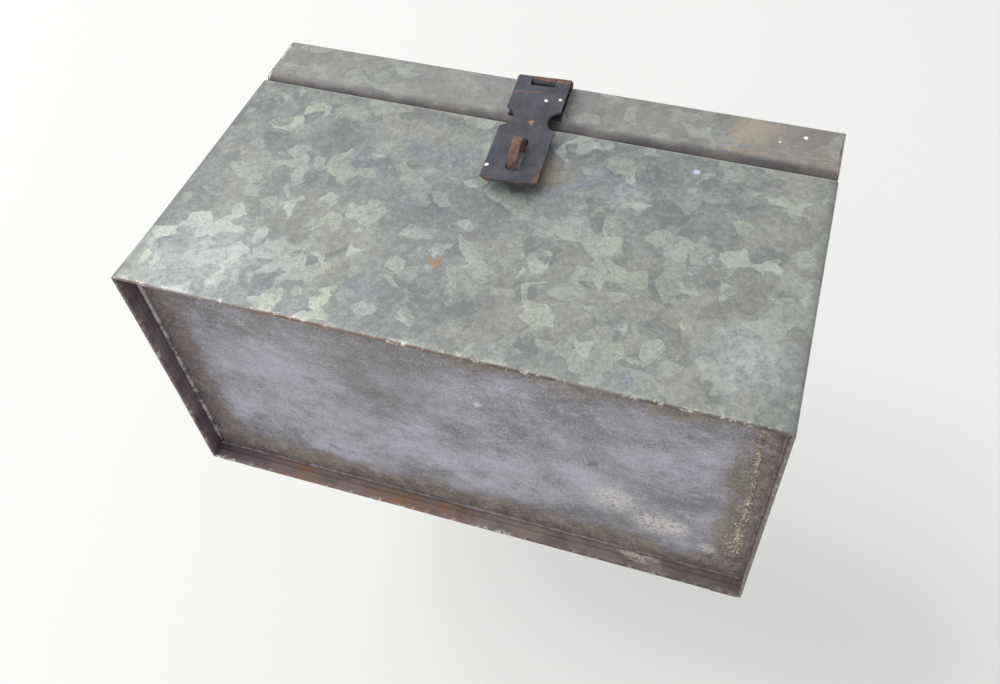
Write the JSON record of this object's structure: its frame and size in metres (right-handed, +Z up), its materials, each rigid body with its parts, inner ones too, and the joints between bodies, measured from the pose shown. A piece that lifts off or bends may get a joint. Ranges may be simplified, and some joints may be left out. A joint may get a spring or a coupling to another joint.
{
  "type": "metal lunch box",
  "caption": "Rectangular galvanised sheet-steel lunch box with a recessed bottom, hinged lid, front hasp and staple, and a folding wire handle.",
  "frame": {"origin": "on the floor under the middle of the whole box, hinges and staple included", "axes": "+X along the length, -Y is the front with the hasp, +Z is up"},
  "size_m": [0.304, 0.1736, 0.1911],
  "materials": {
    "galvanised": "dull spangled zinc with pale grey-green flakes",
    "galvanised_stained": "dull zinc stained brown round the edges and lavender-grey in the middle",
    "solder": "rough grey tin-lead solder",
    "hinge_steel": "dull worn steel with some rust",
    "rivet_steel": "dull tinned iron",
    "hasp_black": "worn slate-black paint, rusty at the edges",
    "rusty_iron": "brown rusted iron",
    "handle_wire": "dull drawn wire"
  },
  "bodies": {
    "box": {"body_shell": "galvanised", "bottom_pan": "galvanised_stained", "bottom_solder": "solder", "left_hinge_body_leaf": "hinge_steel", "right_hinge_body_leaf": "hinge_steel", "left_hinge_body_rivets": "rivet_steel", "right_hinge_body_rivets": "rivet_steel", "left_hinge_pin": "hinge_steel", "right_hinge_pin": "hinge_steel", "staple": "rusty_iron", "staple_backing_plate": "hinge_steel"},
    "lid": {"lid_sheet": "galvanised", "lid_left_end": "galvanised", "lid_right_end": "galvanised", "left_hinge_lid_leaf": "hinge_steel", "right_hinge_lid_leaf": "hinge_steel", "left_hinge_lid_rivets": "rivet_steel", "right_hinge_lid_rivets": "rivet_steel", "hasp_leaf": "hasp_black", "hasp_leaf_rivets": "hasp_black", "hasp_pin": "rusty_iron", "left_handle_clip": "hinge_steel", "right_handle_clip": "hinge_steel", "left_handle_rivets": "rivet_steel", "right_handle_rivets": "rivet_steel"},
    "strap": {"hasp_strap": "hasp_black"},
    "handle": {"handle_bail": "handle_wire"}
  },
  "joints": [
    {"name": "lid_open", "type": "hinge", "parent": "box", "child": "lid", "pos_m": [0, 0.0841, 0.1496], "axis": [-1, 0, 0], "range_deg": [0, 175]},
    {"name": "hasp_swing", "type": "hinge", "parent": "lid", "child": "strap", "pos_m": [-0.0028, -0.0764, 0.1797], "axis": [-0.9979, 0, -0.0645], "range_deg": [0, 165]},
    {"name": "handle_swing", "type": "hinge", "parent": "lid", "child": "handle", "pos_m": [0, -0.015, 0.1872], "axis": [1, 0, 0], "range_deg": [0, 180]}
  ]
}
